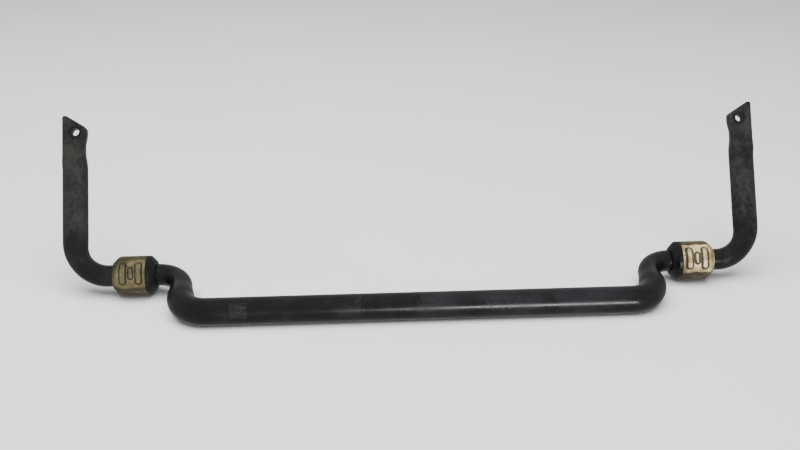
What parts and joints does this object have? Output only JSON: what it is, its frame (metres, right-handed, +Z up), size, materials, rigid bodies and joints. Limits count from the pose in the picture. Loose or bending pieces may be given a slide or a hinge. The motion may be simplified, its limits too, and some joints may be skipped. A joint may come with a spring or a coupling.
{
  "type": "stabiliser bar",
  "caption": "Tubular steel car stabiliser bar: cranked thick centre tube, rubber bushings in plated half shells, and arms ending in flattened, drilled and trimmed paddles.",
  "frame": {"origin": "on the ground under the middle of the bounding box, with the bar standing on its centre tube and both bushings", "axes": "+X along the bar, +Y from the centre tube towards the bushings and the way the arms lean, +Z up"},
  "size_m": [0.9196, 0.2209, 0.209],
  "materials": {
    "bar_paint": "worn semi-gloss black paint over steel",
    "rubber": "black bonded rubber",
    "zinc": "worn yellow-zinc plated sheet steel"
  },
  "bodies": {
    "bar": {"stabiliser_bar": "bar_paint"},
    "left_bushing": {"left_upper_rubber": "rubber", "left_lower_rubber": "rubber", "left_upper_shell": "zinc", "left_lower_shell": "zinc"},
    "right_bushing": {"right_upper_rubber": "rubber", "right_lower_rubber": "rubber", "right_upper_shell": "zinc", "right_lower_shell": "zinc"}
  },
  "joints": [
    {"name": "left_bushing_turn", "type": "hinge", "parent": "bar", "child": "left_bushing", "pos_m": [-0.36262, -0.00701, 0.02601], "axis": [1, 0, 0], "range_deg": [-25, 25], "stiffness_Nm_per_rad": 60},
    {"name": "right_bushing_turn", "type": "hinge", "parent": "bar", "child": "right_bushing", "pos_m": [0.36262, -0.00701, 0.02601], "axis": [1, 0, 0], "range_deg": [-25, 25], "stiffness_Nm_per_rad": 60}
  ]
}
